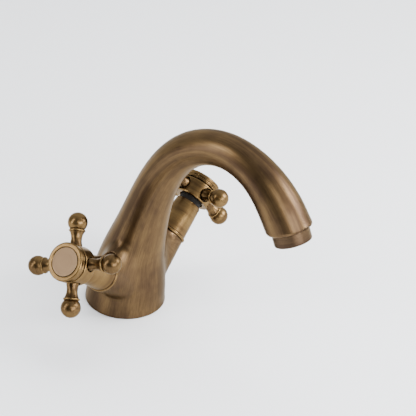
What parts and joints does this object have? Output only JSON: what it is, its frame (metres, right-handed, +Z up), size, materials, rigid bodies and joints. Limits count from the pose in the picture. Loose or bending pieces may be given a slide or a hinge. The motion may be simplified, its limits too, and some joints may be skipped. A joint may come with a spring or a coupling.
{
  "type": "bathroom mixer faucet",
  "caption": "Single-hole basin mixer with a swan-neck cast body, side valves on rising axes, cross handles with ball ends, an aerator and a deck clamp.",
  "frame": {"origin": "centre of the foot, on the deck it stands on", "axes": "+Z up, +X the way the spout points, hot side at -Y, cold side at +Y"},
  "size_m": [0.1512, 0.1514, 0.1884],
  "materials": {
    "antique_brass": "brushed antique bronze patina",
    "antique_brass_dark": "darker antique patina",
    "matte_brass": "matte",
    "raw_brass": "machined",
    "stainless_steel": "satin",
    "zinc_steel": "zinc plated",
    "rubber": "matte",
    "black_plastic": "matte",
    "white_plastic": "matte",
    "ceramic": "lapped"
  },
  "bodies": {
    "root": {"body_casting": "antique_brass", "aerator_housing": "antique_brass_dark", "aerator_insert": "white_plastic", "aerator_screen": "stainless_steel", "aerator_gasket": "rubber", "base_gasket": "rubber", "fixing_stud": "zinc_steel", "clamp_rubber_washer": "rubber", "clamp_plate": "zinc_steel", "clamp_nut": "raw_brass", "hot_headwork_body": "raw_brass", "hot_headwork_seal": "rubber", "hot_seat_gasket": "rubber", "hot_fixed_disc": "ceramic", "hot_bonnet_sleeve": "antique_brass", "hot_dust_ring": "black_plastic", "cold_headwork_body": "raw_brass", "cold_headwork_seal": "rubber", "cold_seat_gasket": "rubber", "cold_fixed_disc": "ceramic", "cold_bonnet_sleeve": "antique_brass", "cold_dust_ring": "black_plastic"},
    "hot_handle": {"hot_moving_disc": "ceramic", "hot_spindle": "raw_brass", "hot_spindle_orings": "rubber", "hot_spindle_clip": "stainless_steel", "hot_handle_hub": "antique_brass", "hot_cap_ring": "antique_brass", "hot_index_disc": "matte_brass", "hot_handle_screw": "stainless_steel", "hot_arm_1": "antique_brass", "hot_arm_2": "antique_brass", "hot_arm_3": "antique_brass", "hot_arm_4": "antique_brass"},
    "cold_handle": {"cold_moving_disc": "ceramic", "cold_spindle": "raw_brass", "cold_spindle_orings": "rubber", "cold_spindle_clip": "stainless_steel", "cold_handle_hub": "antique_brass", "cold_cap_ring": "antique_brass", "cold_index_disc": "matte_brass", "cold_handle_screw": "stainless_steel", "cold_arm_1": "antique_brass", "cold_arm_2": "antique_brass", "cold_arm_3": "antique_brass", "cold_arm_4": "antique_brass"}
  },
  "joints": [
    {"name": "hot_handle_turn", "type": "hinge", "parent": "root", "child": "hot_handle", "pos_m": [0.007, -0.05641, 0.05404], "axis": [0, -0.8059, 0.592], "range_deg": [0, 90]},
    {"name": "cold_handle_turn", "type": "hinge", "parent": "root", "child": "cold_handle", "pos_m": [0.007, 0.05641, 0.05404], "axis": [0, 0.8059, 0.592], "range_deg": [-90, 0]}
  ]
}
